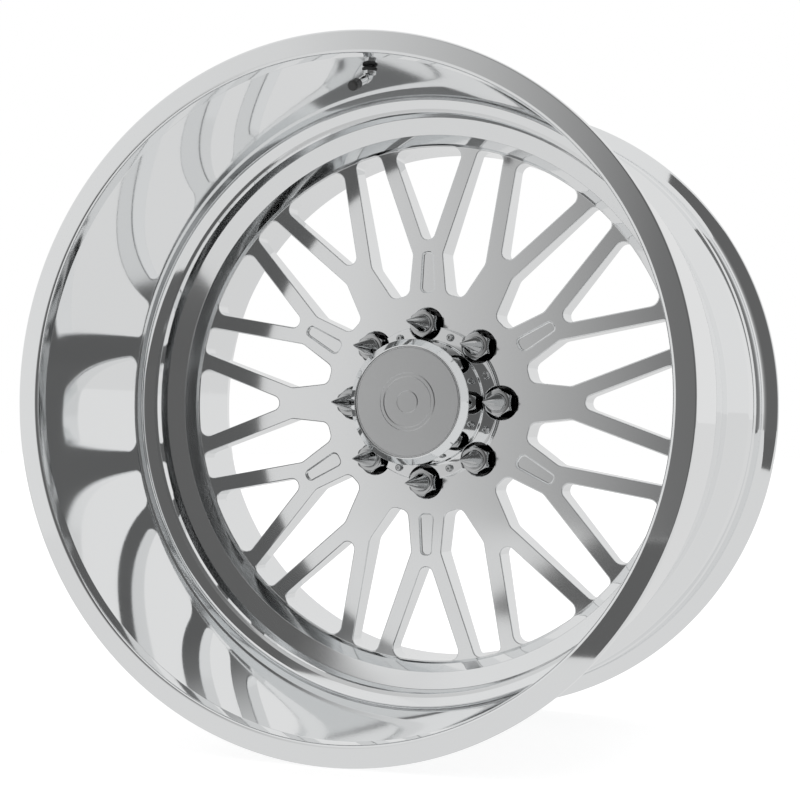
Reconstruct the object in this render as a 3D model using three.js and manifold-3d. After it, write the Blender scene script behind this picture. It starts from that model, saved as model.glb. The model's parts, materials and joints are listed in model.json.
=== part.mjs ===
// Forged two-piece racing wheel, 26 x 16 inch, 8 x 170 mm bolt circle, offset -101 mm.
// Units are millimetres. The wheel turns about +Y, its street face looks along -Y, and +Z is up.
// The origin is the wheel's centre. Depths are counted from the front flange face, along +Y.

import * as THREE from 'three';
import { mergeVertices } from 'three/addons/utils/BufferGeometryUtils.js';
import Module from 'manifold-3d';

const wasm = await Module();
wasm.setup();

// ---- driving dimensions ----
const WHEEL_WIDTH = 425;              // over both flanges
const FLANGE_RADIUS = 347.7;          // outer edge of both flanges
const BEAD_RADIUS = 330.9;            // tyre bead seat at the foot of the flange
const LIP_MOUTH_RADIUS = 324.5;       // inner surface of the lip just behind the front flange
const LIP_END_RADIUS = 320.8;         // inner surface of the lip where it meets the centre
const LIP_END_DEPTH = 201;
const JOINT_RADIUS = 304;             // bore of the barrel that the centre is welded into
const JOINT_DEPTH = 212.5;            // front end of that bore
const RING_REAR_DEPTH = 322;          // rear end of the centre's outer ring
const BARREL_WALL = 5.2;
const WELD_WALL = 7;
const STEP_END_DEPTH = 222;           // the outside has narrowed to the weld ring by here
const GAP = 0.3;                      // clearance between touching pieces

const FACE_DEPTH = 252.8;             // flat front of the spokes and hub
const HUB_PAD_DEPTH = 313.5;          // rear face of the hub, which sits on the vehicle
const HUB_BORE_RADIUS = 62.5;
const HUB_PAD_RADIUS = 107;
const WINDOW_OUTER_RADIUS = 277;
const SPOKE_COUNT = 12;
const SPOKE_SPACING = 2 * Math.PI / SPOKE_COUNT;
const RING_SEGMENTS = 48;

const LUG_COUNT = 8;
const LUG_CIRCLE_RADIUS = 85;
const LUG_SPACING = 2 * Math.PI / LUG_COUNT;
const LUG_WELL_RADIUS = 17.5;         // round well in the face that the socket wrench enters
const LUG_SEAT_DEPTH = 284;           // wide end of the conical seat
const LUG_SEAT_RADIUS = 15.5;
const STUD_HOLE_RADIUS = 8.2;
const SEAT_SLOPE = Math.sqrt(3);      // depth per radius on a 60 degree conical seat

const NUT_HEX_RADIUS = 15.6;          // across corners, halved
const NUT_FRONT_DEPTH = 236;
const NUT_BASE_DEPTH = 278.5;
const SPIKE_TIP_DEPTH = 191;
const SPIKE_BASE_RADIUS = 10.2;

const CAP_FRONT_DEPTH = 194;
const CAP_RADIUS = 66.5;
const CAP_FLANGE_RADIUS = 83;
const CAP_FLANGE_DEPTH = 246.3;
const CAP_SCREW_CIRCLE_RADIUS = 75.5;

const VALVE_ANGLE = THREE.MathUtils.degToRad(87.6);   // around the wheel, from +X towards +Z
const VALVE_DEPTH = 56;
const VALVE_LEAN = THREE.MathUtils.degToRad(68);      // stem leans forward from the radial line
const VALVE_HOLE_RADIUS = 5.65;

const forwardY = (depth) => depth - WHEEL_WIDTH / 2;

// ---- materials ----
const finish = (color, metalness, roughness) => new THREE.MeshStandardMaterial({ color, metalness, roughness });
const polishedAluminium = finish(0xd4d6d8, 1, 0.12);
const satinAluminium = finish(0xa4a6a8, 1, 0.42);
const darkChrome = finish(0x3a3b3e, 1, 0.14);
const zincSteel = finish(0x9fa2a6, 1, 0.3);
const nickelBrass = finish(0xcfd0cf, 1, 0.2);
const blackRubber = finish(0x141414, 0, 0.75);
const blackPlastic = finish(0x1c1c1d, 0, 0.5);

// ---- solids ----
function solidOf(geometry) {
  geometry.deleteAttribute('normal');
  geometry.deleteAttribute('uv');
  const merged = mergeVertices(geometry, 1e-4);
  const vertProperties = Float32Array.from(merged.attributes.position.array);
  const triVerts = Uint32Array.from(merged.index.array);
  return new wasm.Manifold(new wasm.Mesh({ numProp: 3, vertProperties, triVerts }));
}

function geometryOf(solid) {
  const mesh = solid.getMesh();
  const geometry = new THREE.BufferGeometry();
  geometry.setAttribute('position', new THREE.BufferAttribute(Float32Array.from(mesh.vertProperties), 3));
  geometry.setIndex(new THREE.BufferAttribute(Uint32Array.from(mesh.triVerts), 1));
  geometry.computeVertexNormals();
  return geometry;
}

// Turns a closed outline of [radius, depth] points, listed front to back along the outside.
function turned(outline, segments) {
  const points = outline.map(([radius, depth]) => new THREE.Vector2(radius, forwardY(depth)));
  points.push(points[0].clone());
  return solidOf(new THREE.LatheGeometry(points, segments));
}

// Extrudes an outline drawn in the XZ plane between two depths.
function plate(shape, frontDepth, rearDepth) {
  const options = { depth: rearDepth - frontDepth, bevelEnabled: false, curveSegments: 1 };
  const geometry = new THREE.ExtrudeGeometry(shape, options);
  geometry.rotateX(Math.PI / 2);
  geometry.translate(0, forwardY(rearDepth), 0);
  return solidOf(geometry);
}

// A round post or hole along Y at a place on the face.
function post(radius, frontDepth, rearDepth, segments, frontRadius = radius) {
  const geometry = new THREE.CylinderGeometry(radius, frontRadius, rearDepth - frontDepth, segments);
  geometry.translate(0, forwardY((frontDepth + rearDepth) / 2), 0);
  return solidOf(geometry);
}

function turnedTo(solid, angle) {
  return solid.rotate([0, -THREE.MathUtils.radToDeg(angle), 0]);
}

function at(solid, radius, angle) {
  return solid.translate([radius * Math.cos(angle), 0, radius * Math.sin(angle)]);
}

// A closed outline whose corners, given as [x, y, radius], are rounded by arcs.
function roundedShape(corners) {
  const shape = new THREE.Shape();
  corners.forEach(([x, y, radius], i) => {
    const corner = new THREE.Vector2(x, y);
    const before = corners[(i + corners.length - 1) % corners.length];
    const after = corners[(i + 1) % corners.length];
    const back = new THREE.Vector2(before[0] - x, before[1] - y).normalize();
    const ahead = new THREE.Vector2(after[0] - x, after[1] - y).normalize();
    const halfAngle = Math.acos(back.dot(ahead)) / 2;
    const start = corner.clone().addScaledVector(back, radius / Math.tan(halfAngle));
    const end = corner.clone().addScaledVector(ahead, radius / Math.tan(halfAngle));
    if (i === 0) shape.moveTo(start.x, start.y);
    else shape.lineTo(start.x, start.y);
    if (radius === 0) return;
    const middle = back.add(ahead).normalize();
    const centre = corner.clone().addScaledVector(middle, radius / Math.sin(halfAngle));
    const startAngle = Math.atan2(start.y - centre.y, start.x - centre.x);
    const endAngle = Math.atan2(end.y - centre.y, end.x - centre.x);
    shape.absarc(centre.x, centre.y, radius, startAngle, endAngle, false);
  });
  return shape;
}

// ---- rim barrel: flanges, bead seats, deep lip and drop centre, in one spun forging ----
function rimBarrel() {
  const rearSeat = WHEEL_WIDTH - 18;
  const profile = [
    [LIP_MOUTH_RADIUS + 3, 3.5],
    [LIP_MOUTH_RADIUS + 4.2, 0],
    [FLANGE_RADIUS - 2, 0],
    [FLANGE_RADIUS, 2],
    [FLANGE_RADIUS, 8],
    [FLANGE_RADIUS - 2, 10.2],
    [BEAD_RADIUS + 5, 11.2],
    [BEAD_RADIUS + 0.8, 14],
    [BEAD_RADIUS, 18],
    [BEAD_RADIUS - 1.7, 38],
    [BEAD_RADIUS - 0.5, 42],
    [BEAD_RADIUS - 2, 48],
    [LIP_END_RADIUS + BARREL_WALL, LIP_END_DEPTH - 9],
    [JOINT_RADIUS + WELD_WALL, STEP_END_DEPTH],
    [JOINT_RADIUS + WELD_WALL, RING_REAR_DEPTH],
    [BEAD_RADIUS - 4, rearSeat - 50],
    [BEAD_RADIUS - 2, rearSeat - 30],
    [BEAD_RADIUS - 0.5, rearSeat - 24],
    [BEAD_RADIUS - 1.7, rearSeat - 20],
    [BEAD_RADIUS, rearSeat],
    [BEAD_RADIUS + 0.8, rearSeat + 4],
    [BEAD_RADIUS + 5, rearSeat + 6.8],
    [FLANGE_RADIUS - 2, rearSeat + 7.8],
    [FLANGE_RADIUS, rearSeat + 10],
    [FLANGE_RADIUS, WHEEL_WIDTH - 2],
    [FLANGE_RADIUS - 2, WHEEL_WIDTH],
    [LIP_MOUTH_RADIUS + 4.2, WHEEL_WIDTH],
    [LIP_MOUTH_RADIUS, rearSeat + 4],
    [LIP_MOUTH_RADIUS - 1.5, rearSeat - 44],
    [JOINT_RADIUS, RING_REAR_DEPTH + 8],
    [JOINT_RADIUS, JOINT_DEPTH],
    [JOINT_RADIUS + 1.5, LIP_END_DEPTH + 9.5],
    [JOINT_RADIUS + 6, LIP_END_DEPTH + 6.5],
    [LIP_END_RADIUS, LIP_END_DEPTH],
    [LIP_MOUTH_RADIUS, 12],
  ];
  const hole = new THREE.CylinderGeometry(VALVE_HOLE_RADIUS, VALVE_HOLE_RADIUS, 40, 16);
  hole.rotateZ(Math.PI / 2);
  hole.translate(BEAD_RADIUS - 5, forwardY(VALVE_DEPTH), 0);
  return turned(profile, RING_SEGMENTS).subtract(turnedTo(solidOf(hole), VALVE_ANGLE));
}

// ---- forged centre: hub, twelve Y spokes and the outer ring ----
function forkWindow() {
  // The triangle between the two arms of a spoke. Its sides open at 20 degrees to the spoke's axis.
  const apex = 161.5;
  const half = THREE.MathUtils.degToRad(20);
  const cornerX = 273.8;
  const cornerY = (cornerX - apex) * Math.tan(half);
  return roundedShape([
    [apex, 0, 7],
    [cornerX, -cornerY, 10],
    [WINDOW_OUTER_RADIUS + 0.1, 0, 0],
    [cornerX, cornerY, 10],
  ]);
}

function stemWindow() {
  // The six-sided opening between two neighbouring spokes, widest where the arms branch off.
  return roundedShape([
    [119, -9.5, 9],
    [160, -24.8, 12],
    [WINDOW_OUTER_RADIUS - 0.4, -14.6, 7],
    [WINDOW_OUTER_RADIUS - 0.4, 14.6, 7],
    [160, 24.8, 12],
    [119, 9.5, 9],
  ]);
}

function stemPocket() {
  return roundedShape([
    [119, -8.5, 6],
    [164, -6, 5],
    [164, 6, 5],
    [119, 8.5, 6],
  ]);
}

function forgedCentre() {
  const ringRadius = JOINT_RADIUS - GAP;
  const profile = [
    [HUB_BORE_RADIUS, FACE_DEPTH],
    [WINDOW_OUTER_RADIUS, FACE_DEPTH],
    [WINDOW_OUTER_RADIUS + 2.5, FACE_DEPTH - 3.5],
    [287, 236.5],
    [ringRadius - 1.5, 228],
    [ringRadius, 226.5],
    [ringRadius, RING_REAR_DEPTH],
    [WINDOW_OUTER_RADIUS + 1.5, RING_REAR_DEPTH],
    [WINDOW_OUTER_RADIUS, RING_REAR_DEPTH - 1.5],
    [WINDOW_OUTER_RADIUS, 277],
    [122, 289],
    [HUB_PAD_RADIUS + 2, 297],
    [HUB_PAD_RADIUS, HUB_PAD_DEPTH - 1.5],
    [HUB_PAD_RADIUS - 1.5, HUB_PAD_DEPTH],
    [HUB_BORE_RADIUS, HUB_PAD_DEPTH],
  ];
  let centre = turned(profile, RING_SEGMENTS);
  const fork = plate(forkWindow(), FACE_DEPTH - 10, HUB_PAD_DEPTH);
  const opening = plate(stemWindow(), FACE_DEPTH - 10, HUB_PAD_DEPTH);
  const pocket = plate(stemPocket(), FACE_DEPTH - 10, FACE_DEPTH + 3);
  for (let i = 0; i < SPOKE_COUNT; i++) {
    const angle = i * SPOKE_SPACING;
    centre = centre.subtract(turnedTo(fork, angle));
    centre = centre.subtract(turnedTo(opening, angle + SPOKE_SPACING / 2));
    if (i % 2 === 1) centre = centre.subtract(turnedTo(pocket, angle));
  }
  const seatEnd = LUG_SEAT_DEPTH + (LUG_SEAT_RADIUS - STUD_HOLE_RADIUS) * SEAT_SLOPE;
  const well = post(LUG_WELL_RADIUS, FACE_DEPTH - 1, LUG_SEAT_DEPTH, 16);
  const seat = post(STUD_HOLE_RADIUS, LUG_SEAT_DEPTH, seatEnd, 16, LUG_SEAT_RADIUS);
  const studHole = post(STUD_HOLE_RADIUS, seatEnd - 1, HUB_PAD_DEPTH + 1, 16);
  const tappedHole = post(2.4, FACE_DEPTH - 1, FACE_DEPTH + 14, 8);
  for (let i = 0; i < LUG_COUNT; i++) {
    const angle = i * LUG_SPACING;
    for (const cut of [well, seat, studHole]) {
      centre = centre.subtract(at(cut, LUG_CIRCLE_RADIUS, angle));
    }
    centre = centre.subtract(at(tappedHole, CAP_SCREW_CIRCLE_RADIUS, angle + LUG_SPACING / 2));
  }
  return centre;
}

// ---- centre cap: a hollow turned cup on a scalloped flange, held by eight screws ----
function capBody() {
  const wall = 4.5;
  const cup = turned([
    [0, CAP_FRONT_DEPTH + 2.4],
    [58.8, CAP_FRONT_DEPTH + 2.4],
    [58.8, CAP_FRONT_DEPTH + 0.4],
    [59.6, CAP_FRONT_DEPTH],
    [CAP_RADIUS, CAP_FRONT_DEPTH + 6.5],
    [CAP_RADIUS, FACE_DEPTH - GAP],
    [HUB_BORE_RADIUS - 0.5, FACE_DEPTH - GAP],
    [HUB_BORE_RADIUS - 0.5, FACE_DEPTH + 11],
    [HUB_BORE_RADIUS - wall, FACE_DEPTH + 11],
    [HUB_BORE_RADIUS - wall, CAP_FRONT_DEPTH + 10.5],
    [HUB_BORE_RADIUS - wall - 3, CAP_FRONT_DEPTH + 7.5],
    [0, CAP_FRONT_DEPTH + 7.5],
  ], 36);
  let flange = post(CAP_FLANGE_RADIUS, CAP_FLANGE_DEPTH, FACE_DEPTH - GAP, 48);
  flange = flange.subtract(post(HUB_BORE_RADIUS, CAP_FLANGE_DEPTH - 1, FACE_DEPTH, 36));
  const scallop = post(LUG_WELL_RADIUS + 0.7, CAP_FLANGE_DEPTH - 1, FACE_DEPTH, 20);
  const screwHole = post(2.4, CAP_FLANGE_DEPTH - 1, FACE_DEPTH, 8);
  for (let i = 0; i < LUG_COUNT; i++) {
    flange = flange.subtract(at(scallop, LUG_CIRCLE_RADIUS, i * LUG_SPACING));
    flange = flange.subtract(at(screwHole, CAP_SCREW_CIRCLE_RADIUS, (i + 0.5) * LUG_SPACING));
  }
  return cup.add(flange);
}

function capInsert() {
  const front = CAP_FRONT_DEPTH + 0.5;
  const rear = CAP_FRONT_DEPTH + 2.4 - GAP;
  return turned([
    [0, front + 0.6],
    [20, front + 0.6],
    [21, front],
    [53, front],
    [54, front + 0.5],
    [55.5, front + 0.5],
    [56.5, front],
    [58.4, front + 0.2],
    [58.4, rear],
    [0, rear],
  ], 36);
}

function capScrew() {
  // Button head with a hexagon socket, drawn on the wheel's axis and placed by its mesh.
  const headRear = CAP_FLANGE_DEPTH - GAP;
  const body = turned([
    [0, headRear - 3.4],
    [2.8, headRear - 3.4],
    [4.1, headRear - 1.6],
    [4.1, headRear],
    [2, headRear],
    [2, FACE_DEPTH + 12],
    [0, FACE_DEPTH + 12],
  ], 12);
  return body.subtract(post(1.5, headRear - 4, headRear - 1.2, 6));
}

// ---- spiked lug nut and the captive conical washer that it turns on ----
function lugNut() {
  const chamfer = 2.5;
  const hex = post(NUT_HEX_RADIUS, NUT_FRONT_DEPTH, NUT_BASE_DEPTH, 6);
  const round = turned([
    [0, NUT_FRONT_DEPTH],
    [NUT_HEX_RADIUS - chamfer, NUT_FRONT_DEPTH],
    [NUT_HEX_RADIUS + 0.4, NUT_FRONT_DEPTH + chamfer],
    [NUT_HEX_RADIUS + 0.4, NUT_BASE_DEPTH - 1],
    [NUT_HEX_RADIUS - 1.4, NUT_BASE_DEPTH],
    [0, NUT_BASE_DEPTH],
  ], 12);
  const spike = turned([
    [0, SPIKE_TIP_DEPTH],
    [1, SPIKE_TIP_DEPTH + 0.8],
    [SPIKE_BASE_RADIUS, NUT_FRONT_DEPTH - 1.5],
    [SPIKE_BASE_RADIUS, NUT_FRONT_DEPTH + 1],
    [0, NUT_FRONT_DEPTH + 1],
  ], 12);
  const threadedBore = post(6.6, NUT_BASE_DEPTH - 34, NUT_BASE_DEPTH + 1, 10);
  return hex.intersect(round).add(spike).subtract(threadedBore);
}

function lugWasher() {
  const front = NUT_BASE_DEPTH + GAP;
  const inner = 7.4;
  const outer = LUG_SEAT_RADIUS - GAP * 1.2;
  const tip = LUG_SEAT_DEPTH + (outer - 8.6) * SEAT_SLOPE;
  return turned([
    [inner, front],
    [outer, front],
    [outer, LUG_SEAT_DEPTH],
    [8.6, tip],
    [inner, tip],
  ], 16);
}

// ---- tyre valve: local X points from the lip towards the axle, local Y towards the street ----
const leanDirection = new THREE.Vector3(Math.cos(VALVE_LEAN), Math.sin(VALVE_LEAN), 0);
const ELBOW_X = 9.5;
const STEM_LENGTH = 40;
const STEM_RADIUS = 4;

// A cylinder from one point to another in the valve's frame.
function rod(from, to, radius, segments, endRadius = radius) {
  const axis = to.clone().sub(from);
  const geometry = new THREE.CylinderGeometry(endRadius, radius, axis.length(), segments);
  const turn = new THREE.Quaternion().setFromUnitVectors(new THREE.Vector3(0, 1, 0), axis.clone().normalize());
  geometry.applyQuaternion(turn);
  const middle = from.clone().add(to).multiplyScalar(0.5);
  geometry.translate(middle.x, middle.y, middle.z);
  return solidOf(geometry);
}

const alongBase = (x) => new THREE.Vector3(x, 0, 0);
const alongStem = (distance) => alongBase(ELBOW_X).addScaledVector(leanDirection, distance);

function ball(centre, radius) {
  const geometry = new THREE.SphereGeometry(radius, 12, 8);
  geometry.translate(centre.x, centre.y, centre.z);
  return solidOf(geometry);
}

function valveStem() {
  const head = rod(alongBase(-12.5), alongBase(-8.9), 8.5, 16);
  const base = rod(alongBase(-9.5), alongBase(ELBOW_X), STEM_RADIUS, 12);
  const elbow = ball(alongBase(ELBOW_X), STEM_RADIUS);
  const tube = rod(alongBase(ELBOW_X), alongStem(STEM_LENGTH), STEM_RADIUS, 12);
  const airBase = rod(alongBase(-13), alongBase(ELBOW_X), 1.6, 8);
  const airElbow = ball(alongBase(ELBOW_X), 1.6);
  const airTube = rod(alongBase(ELBOW_X), alongStem(STEM_LENGTH + 1), 1.6, 8);
  const coreBore = rod(alongStem(STEM_LENGTH - 14), alongStem(STEM_LENGTH + 1), 2.6, 12);
  const outside = head.add(base).add(elbow).add(tube);
  return outside.subtract(airBase).subtract(airElbow).subtract(airTube).subtract(coreBore);
}

function sleeve(fromX, toX, innerRadius, outerRadius, segments) {
  const outside = rod(alongBase(fromX), alongBase(toX), outerRadius, segments);
  return outside.subtract(rod(alongBase(fromX - 1), alongBase(toX + 1), innerRadius, 16));
}

function valveGrommet() {
  const wall = BARREL_WALL;
  const collar = rod(alongBase(-wall - 1), alongBase(-0.4), VALVE_HOLE_RADIUS - GAP, 16);
  const pad = rod(alongBase(-8.6), alongBase(-wall - 0.5), 8.8, 20);
  return pad.add(collar).subtract(rod(alongBase(-10), alongBase(1), STEM_RADIUS + GAP, 16));
}

const valveWasher = () => sleeve(0.4, 3, STEM_RADIUS + 0.4, 7.4, 20);
const valveNut = () => sleeve(3.3, 6.8, STEM_RADIUS + 0.4, 6.8, 6);

function valveCore() {
  const front = alongStem(STEM_LENGTH - 1.2);
  const rear = alongStem(STEM_LENGTH - 12);
  const body = rod(rear, front, 2.3, 12);
  return body.subtract(rod(alongStem(STEM_LENGTH - 13), alongStem(STEM_LENGTH), 1.1, 8));
}

function valvePin() {
  return rod(alongStem(STEM_LENGTH - 13.4), alongStem(STEM_LENGTH - 0.4), 0.8, 8);
}

// The cap screws over the stem's tip and presses a small rubber seal against it.
function valveCap() {
  const start = alongStem(STEM_LENGTH - 9.5);
  const body = rod(start, alongStem(STEM_LENGTH + 4), 5.4, 16, 4.9);
  return body.subtract(rod(alongStem(STEM_LENGTH - 11), alongStem(STEM_LENGTH + 2), STEM_RADIUS + GAP, 16));
}

function valveCapSeal() {
  const seal = rod(alongStem(STEM_LENGTH + GAP), alongStem(STEM_LENGTH + 2 - GAP), STEM_RADIUS - 0.1, 12);
  return seal.subtract(rod(alongStem(STEM_LENGTH - 1), alongStem(STEM_LENGTH + 3), 1.6, 8));
}

// ---- assembly ----
const wheel = new THREE.Group();

function addPiece(parent, name, solid, material) {
  const mesh = new THREE.Mesh(geometryOf(solid), material);
  mesh.name = name;
  parent.add(mesh);
  return mesh;
}

function placeOnFace(mesh, radius, angle) {
  mesh.position.set(radius * Math.cos(angle), 0, radius * Math.sin(angle));
}

addPiece(wheel, 'rim_barrel', rimBarrel(), polishedAluminium);
addPiece(wheel, 'forged_centre', forgedCentre(), polishedAluminium);
addPiece(wheel, 'centre_cap', capBody(), polishedAluminium);
addPiece(wheel, 'cap_insert', capInsert(), satinAluminium);

for (let i = 0; i < LUG_COUNT; i++) {
  const nutAngle = Math.PI / 2 - i * LUG_SPACING;
  const nut = addPiece(wheel, `lug_nut_${i + 1}`, lugNut(), darkChrome);
  placeOnFace(nut, LUG_CIRCLE_RADIUS, nutAngle);
  const washer = addPiece(wheel, `lug_seat_washer_${i + 1}`, lugWasher(), darkChrome);
  placeOnFace(washer, LUG_CIRCLE_RADIUS, nutAngle);
  const screw = addPiece(wheel, `cap_screw_${i + 1}`, capScrew(), zincSteel);
  placeOnFace(screw, CAP_SCREW_CIRCLE_RADIUS, nutAngle - LUG_SPACING / 2);
}

const valve = new THREE.Group();
const outward = new THREE.Vector3(Math.cos(VALVE_ANGLE), 0, Math.sin(VALVE_ANGLE));
const inward = outward.clone().negate();
const street = new THREE.Vector3(0, -1, 0);
valve.setRotationFromMatrix(new THREE.Matrix4().makeBasis(inward, street, inward.clone().cross(street)));
const lipTaper = (LIP_MOUTH_RADIUS - LIP_END_RADIUS) / (LIP_END_DEPTH - 12);
// The lip is turned in flat facets, whose middles lie inside the true radius.
const facetFactor = Math.cos(Math.PI / RING_SEGMENTS);
const valveWallRadius = (LIP_MOUTH_RADIUS - (VALVE_DEPTH - 12) * lipTaper) * facetFactor;
valve.position.copy(outward).multiplyScalar(valveWallRadius);
valve.position.y = forwardY(VALVE_DEPTH);
wheel.add(valve);
addPiece(valve, 'valve_stem', valveStem(), nickelBrass);
addPiece(valve, 'valve_grommet', valveGrommet(), blackRubber);
addPiece(valve, 'valve_washer', valveWasher(), blackRubber);
addPiece(valve, 'valve_nut', valveNut(), nickelBrass);
addPiece(valve, 'valve_core', valveCore(), nickelBrass);
addPiece(valve, 'valve_pin', valvePin(), nickelBrass);
addPiece(valve, 'valve_cap', valveCap(), blackPlastic);
addPiece(valve, 'valve_cap_seal', valveCapSeal(), blackRubber);

export default wheel;
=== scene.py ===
import json
import math

import bmesh
import bpy
from mathutils import Matrix, Vector


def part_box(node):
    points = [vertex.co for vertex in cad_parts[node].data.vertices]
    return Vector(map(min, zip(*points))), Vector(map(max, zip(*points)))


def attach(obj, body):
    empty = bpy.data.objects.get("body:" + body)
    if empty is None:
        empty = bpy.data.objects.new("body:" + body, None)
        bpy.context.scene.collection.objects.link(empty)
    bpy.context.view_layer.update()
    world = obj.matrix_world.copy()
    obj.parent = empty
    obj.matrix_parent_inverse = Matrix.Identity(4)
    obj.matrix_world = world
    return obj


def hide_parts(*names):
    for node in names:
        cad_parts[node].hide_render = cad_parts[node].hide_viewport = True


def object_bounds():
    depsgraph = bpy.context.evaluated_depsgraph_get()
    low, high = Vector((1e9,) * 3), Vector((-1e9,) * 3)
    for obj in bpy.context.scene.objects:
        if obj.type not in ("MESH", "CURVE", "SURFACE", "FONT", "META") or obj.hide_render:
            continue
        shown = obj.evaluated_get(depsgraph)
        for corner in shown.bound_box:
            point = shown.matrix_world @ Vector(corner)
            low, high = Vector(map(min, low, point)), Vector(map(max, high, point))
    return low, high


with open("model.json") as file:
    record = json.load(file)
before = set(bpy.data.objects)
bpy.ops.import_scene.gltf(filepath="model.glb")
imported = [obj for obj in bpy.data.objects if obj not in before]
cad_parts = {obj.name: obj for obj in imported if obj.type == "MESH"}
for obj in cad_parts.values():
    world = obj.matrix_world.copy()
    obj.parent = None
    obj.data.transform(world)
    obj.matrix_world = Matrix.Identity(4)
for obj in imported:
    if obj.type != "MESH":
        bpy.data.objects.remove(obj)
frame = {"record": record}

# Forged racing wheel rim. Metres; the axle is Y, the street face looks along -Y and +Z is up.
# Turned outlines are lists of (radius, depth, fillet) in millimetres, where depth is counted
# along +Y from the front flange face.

cad_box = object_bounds()
MM = 0.001
FRONT_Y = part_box("rim_barrel")[0][1]

# ---- driving sizes, in millimetres ----
WIDTH = 425.0
FLANGE_R = 347.7
BEAD_R = 330.9
LIP_R = 324.5
LIP_END_R = 320.8
LIP_END = 201.0
JOINT_R = 304.0
JOINT = 212.5
RING_REAR = 322.0
TAPER_END = 300.0
FACE = 252.8
HUB_PAD = 313.5
HUB_BORE_R = 62.5
RING_INNER_R = 277.2
WINDOW_OUTER_R = 276.8
REAR_LIMIT_R = 277.0
SPOKES = 12
POCKET_DEPTH = 3.0
EDGE = 1.1
LUGS = 8
LUG_CIRCLE_R = 85.0
LUG_WELL_R = 17.5
LUG_SEAT = 284.0
LUG_SEAT_R = 15.5
STUD_HOLE_R = 8.2
SEAT_SLOPE = math.sqrt(3)
NUT_FRONT = 236.0
NUT_BASE = 278.5
SPIKE_TIP = 191.0
SPIKE_BASE_R = 10.2
# painted shade: the dark grey given to the hub behind its face, round the lug nuts
WELL_SHADE_TONE = 0.14
NUT_CORNER_R = 15.6
CAP_FRONT = 194.0
CAP_R = 66.5
CAP_FLANGE_R = 83.0
CAP_FLANGE = 246.3
SCREW_CIRCLE_R = 75.5
GAP = 0.3
FINE = 256
FLAT_NORMAL = 0.9999995  # a face whose normal is this close to the axle is a flat one
FLAT_AREA = 2e-6         # square metres


def depth_y(depth):
    return depth * MM + FRONT_Y


def arc_points(corner, before, after, radius, steps):
    """Points of the fillet that rounds a corner between two straight lines."""
    back = (before - corner).normalized()
    ahead = (after - corner).normalized()
    angle = back.angle(ahead)
    if radius <= 0 or angle > math.pi - 0.02:
        return [corner]
    reach = radius / math.tan(angle / 2)
    reach = min(reach, 0.49 * (before - corner).length, 0.49 * (after - corner).length)
    radius = reach * math.tan(angle / 2)
    centre = corner + (back + ahead).normalized() * (radius / math.sin(angle / 2))
    start = corner + back * reach - centre
    end = corner + ahead * reach - centre
    turn = start.angle_signed(end)
    return [centre + Matrix.Rotation(-turn * i / steps, 2) @ start for i in range(steps + 1)]


def rounded(corners, steps=5):
    """A closed 2-D outline whose corners, given as (x, y, fillet), are rounded by arcs."""
    points = [Vector(c[:2]) for c in corners]
    outline = []
    for i, corner in enumerate(corners):
        fillet = corner[2] if len(corner) > 2 else 0
        outline += arc_points(points[i], points[i - 1], points[(i + 1) % len(points)], fillet, steps)
    return outline


def mesh_object(name, bm):
    bmesh.ops.remove_doubles(bm, verts=bm.verts, dist=1e-7)
    bmesh.ops.recalc_face_normals(bm, faces=bm.faces)
    mesh = bpy.data.meshes.new(name)
    bm.to_mesh(mesh)
    bm.free()
    piece = bpy.data.objects.new(name, mesh)
    bpy.context.scene.collection.objects.link(piece)
    return piece


def lathe(name, corners, segments=FINE, steps=5, axis_y=depth_y):
    """Turns a closed outline of (radius, depth, fillet) about Y."""
    outline = rounded(corners, steps)
    bm = bmesh.new()
    rings = []
    for i in range(segments):
        angle = 2 * math.pi * i / segments
        cos, sin = math.cos(angle), math.sin(angle)
        rings.append([bm.verts.new((p.x * MM * cos, axis_y(p.y), p.x * MM * sin)) for p in outline])
    count = len(outline)
    for i in range(segments):
        here, there = rings[i], rings[(i + 1) % segments]
        for j in range(count):
            k = (j + 1) % count
            if outline[j].x < 1e-6 and outline[k].x < 1e-6:
                continue
            bm.faces.new((here[j], here[k], there[k], there[j]))
    return mesh_object(name, bm)


def loft(name, loops, ring=False):
    """A closed solid through loops of equal length: flat-ended, or joined end to start as a ring."""
    bm = bmesh.new()
    rows = [[bm.verts.new(p) for p in loop] for loop in loops]
    for here, there in zip(rows, rows[1:] + rows[:1] if ring else rows[1:]):
        for j in range(len(here)):
            k = (j + 1) % len(here)
            bm.faces.new((here[j], here[k], there[k], there[j]))
    if not ring:
        bm.faces.new(rows[0])
        bm.faces.new(list(reversed(rows[-1])))
    return mesh_object(name, bm)


def grown(outline, amount):
    """The outline moved outwards by an amount; the outline runs anticlockwise."""
    moved = []
    count = len(outline)
    for i, point in enumerate(outline):
        before = (point - outline[i - 1]).normalized()
        after = (outline[(i + 1) % count] - point).normalized()
        along = (before + after).normalized()
        stretch = 1 / max(0.5, along.dot(after))
        moved.append(point + Vector((along.y, -along.x)) * amount * stretch)
    return moved


def anticlockwise(outline):
    area = sum(a.cross(b) for a, b in zip(outline, outline[1:] + outline[:1]))
    return outline if area > 0 else list(reversed(outline))


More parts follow.
